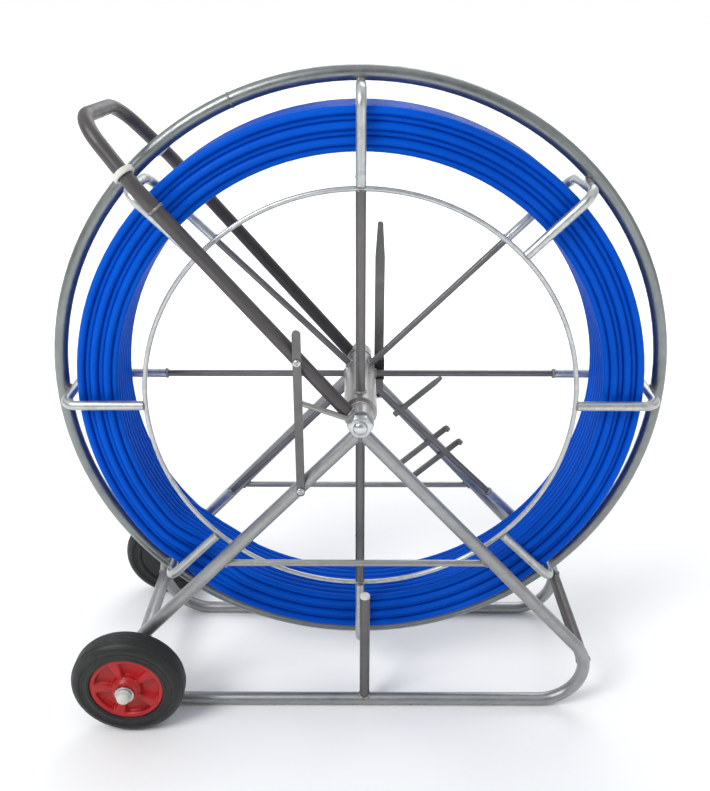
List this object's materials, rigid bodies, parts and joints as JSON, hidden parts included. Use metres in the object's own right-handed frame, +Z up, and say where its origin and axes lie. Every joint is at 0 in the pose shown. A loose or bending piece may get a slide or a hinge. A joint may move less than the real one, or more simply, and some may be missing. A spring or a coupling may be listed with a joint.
{
  "type": "wheeled duct rod reel",
  "caption": "Cage reel on a wheeled tube stand with a tilting handle, which stores and pays out a long coated fibreglass rod for drawing cables through ducts.",
  "frame": {"origin": "on the ground, straight under the reel's axle, midway between the wheels", "axes": "+Z up, +Y along the reel's axle from the front of the stand to its rear, +X from the wheels to the bent feet"},
  "size_m": [0.9199, 0.4392, 0.985],
  "materials": {
    "stand_steel": "satin, galvanised",
    "cage_steel": "bright zinc",
    "rim_steel": "satin, galvanised",
    "spoke_steel": "satin, galvanised",
    "hub_steel": "satin, galvanised",
    "zinc_steel": "bright zinc plate",
    "lever_steel": "satin",
    "rod_blue": "smooth coated rod",
    "ferrule_brass": "turned",
    "grip_rubber": "matte",
    "pad_rubber": "matte",
    "tyre_rubber": "moulded, slight sheen",
    "rim_red": "moulded",
    "pale_plastic": "moulded",
    "bush_plastic": "turned"
  },
  "bodies": {
    "stand": {"front_left_leg": "stand_steel", "front_right_leg": "stand_steel", "front_base_rail": "stand_steel", "front_handle_arm": "stand_steel", "front_crossbar": "stand_steel", "front_axle_socket": "stand_steel", "rear_left_leg": "stand_steel", "rear_right_leg": "stand_steel", "rear_base_rail": "stand_steel", "rear_handle_arm": "stand_steel", "rear_crossbar": "stand_steel", "rear_axle_socket": "stand_steel", "base_cross_tube": "stand_steel", "axle_cross_tube": "stand_steel", "front_stay": "stand_steel", "front_strut": "stand_steel", "stay_screws": "zinc_steel", "front_post": "stand_steel", "post_cap": "pale_plastic", "handle_loop": "stand_steel", "handle_grip": "grip_rubber", "front_grip_collar": "pale_plastic", "rear_grip_collar": "pale_plastic", "main_axle": "zinc_steel", "hub_washers": "zinc_steel", "axle_nuts": "zinc_steel", "cleat_inner": "stand_steel", "cleat_outer": "stand_steel", "leg_peg": "stand_steel", "brake_pivot": "zinc_steel", "brake_pivot_nut": "zinc_steel", "wheel_axle": "zinc_steel", "wheel_washers": "zinc_steel", "axle_caps": "pale_plastic"},
    "reel": {"rim_ring": "rim_steel", "cage_hoop_1": "cage_steel", "cage_hoop_2": "cage_steel", "cage_hoop_3": "cage_steel", "cage_hoop_4": "cage_steel", "cage_hoop_5": "cage_steel", "cage_hoop_6": "cage_steel", "cage_hoop_7": "cage_steel", "cage_hoop_8": "cage_steel", "inner_ring": "spoke_steel", "rear_spokes": "spoke_steel", "front_spoke_top": "cage_steel", "front_spoke_bottom": "cage_steel", "hub_barrel": "hub_steel", "front_hub_bush": "bush_plastic", "rear_hub_bush": "bush_plastic", "rod_winding": "rod_blue", "rod_ferrule": "ferrule_brass"},
    "brake": {"brake_lever": "lever_steel", "brake_pad": "pad_rubber"},
    "front_wheel": {"front_tyre": "tyre_rubber", "front_wheel_rim": "rim_red", "front_wheel_bush": "bush_plastic"},
    "rear_wheel": {"rear_tyre": "tyre_rubber", "rear_wheel_rim": "rim_red", "rear_wheel_bush": "bush_plastic"}
  },
  "joints": [
    {"name": "reel_spin", "type": "hinge", "parent": "stand", "child": "reel", "pos_m": [0, -0.025, 0.525], "axis": [0, 1, 0], "continuous": true},
    {"name": "front_wheel_spin", "type": "hinge", "parent": "stand", "child": "front_wheel", "pos_m": [-0.363, -0.175, 0.088], "axis": [0, 1, 0], "continuous": true},
    {"name": "rear_wheel_spin", "type": "hinge", "parent": "stand", "child": "rear_wheel", "pos_m": [-0.363, 0.175, 0.088], "axis": [0, 1, 0], "continuous": true},
    {"name": "brake_swing", "type": "hinge", "parent": "stand", "child": "brake", "pos_m": [0.0305, 0.078, 0.47313], "axis": [0, 1, 0], "range_deg": [0, 12]}
  ]
}
